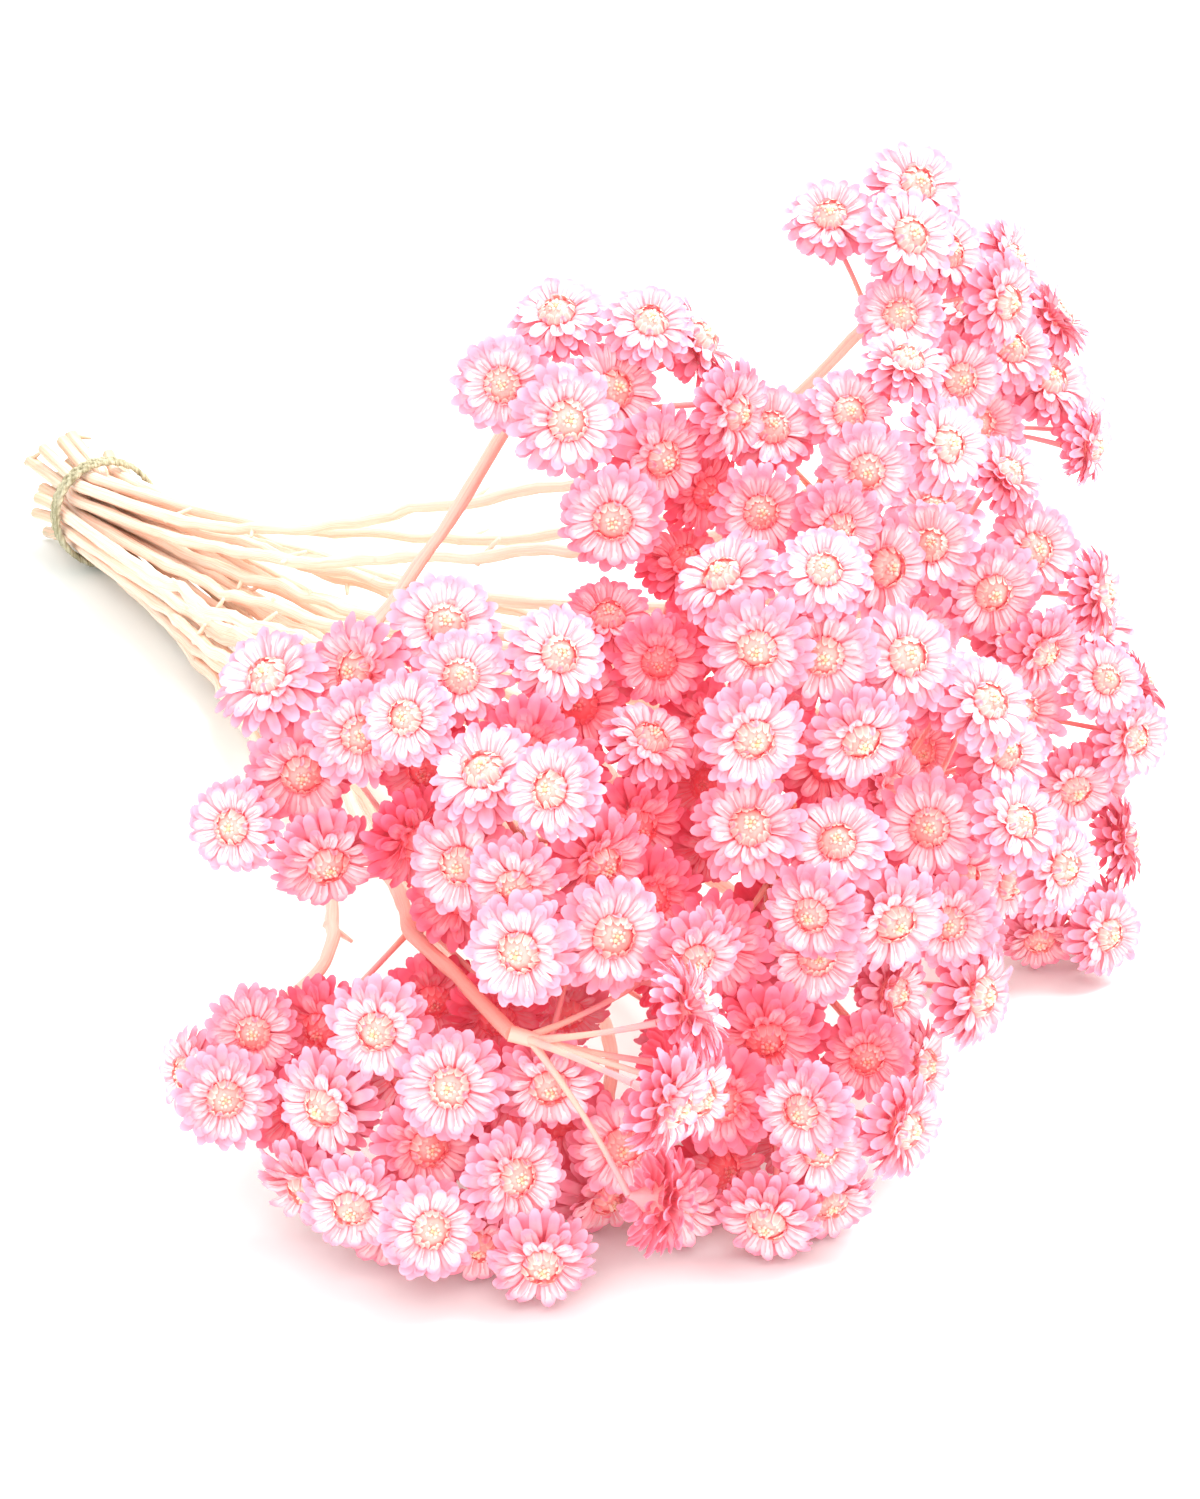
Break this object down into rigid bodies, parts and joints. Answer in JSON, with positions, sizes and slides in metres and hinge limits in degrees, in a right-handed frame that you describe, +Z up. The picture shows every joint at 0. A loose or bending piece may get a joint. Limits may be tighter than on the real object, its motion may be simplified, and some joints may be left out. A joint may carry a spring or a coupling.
{
  "type": "dried flower bunch",
  "caption": "Bunch of dried starflower lying on its side: cream stems fan out from a twine tie to a dome of small pink, papery daisy heads.",
  "frame": {"origin": "centre of the footprint of the bunch's bounding box, on the surface the bunch lies on", "axes": "+X along the bunch from the cut stem ends to the flower heads, +Z up from the surface it lies on, +Y completes the right-handed frame"},
  "size_m": [0.3928, 0.184, 0.1283],
  "materials": {
    "stem": "matt dried stem, cream",
    "bloom": "dry papery bracts with a slight sheen, pink",
    "twine": "matt natural twine, khaki cream"
  },
  "bodies": {
    "root": {"stem_01": "stem", "blooms_01": "bloom", "stem_02": "stem", "blooms_02": "bloom", "stem_03": "stem", "blooms_03": "bloom", "stem_04": "stem", "blooms_04": "bloom", "stem_05": "stem", "blooms_05": "bloom", "stem_06": "stem", "blooms_06": "bloom", "stem_07": "stem", "blooms_07": "bloom", "stem_08": "stem", "blooms_08": "bloom", "stem_09": "stem", "blooms_09": "bloom", "stem_10": "stem", "blooms_10": "bloom", "stem_11": "stem", "blooms_11": "bloom", "stem_12": "stem", "blooms_12": "bloom", "stem_13": "stem", "blooms_13": "bloom", "stem_14": "stem", "blooms_14": "bloom", "stem_15": "stem", "blooms_15": "bloom", "stem_16": "stem", "blooms_16": "bloom", "stem_17": "stem", "blooms_17": "bloom", "stem_18": "stem", "blooms_18": "bloom", "stem_19": "stem", "blooms_19": "bloom", "stem_20": "stem", "blooms_20": "bloom", "stem_21": "stem", "blooms_21": "bloom", "stem_22": "stem", "blooms_22": "bloom", "stem_23": "stem", "blooms_23": "bloom", "stem_24": "stem", "blooms_24": "bloom", "stem_25": "stem", "blooms_25": "bloom", "stem_26": "stem", "blooms_26": "bloom", "stem_27": "stem", "blooms_27": "bloom", "stem_28": "stem", "blooms_28": "bloom", "stem_29": "stem", "blooms_29": "bloom", "tie": "twine"}
  },
  "joints": []
}
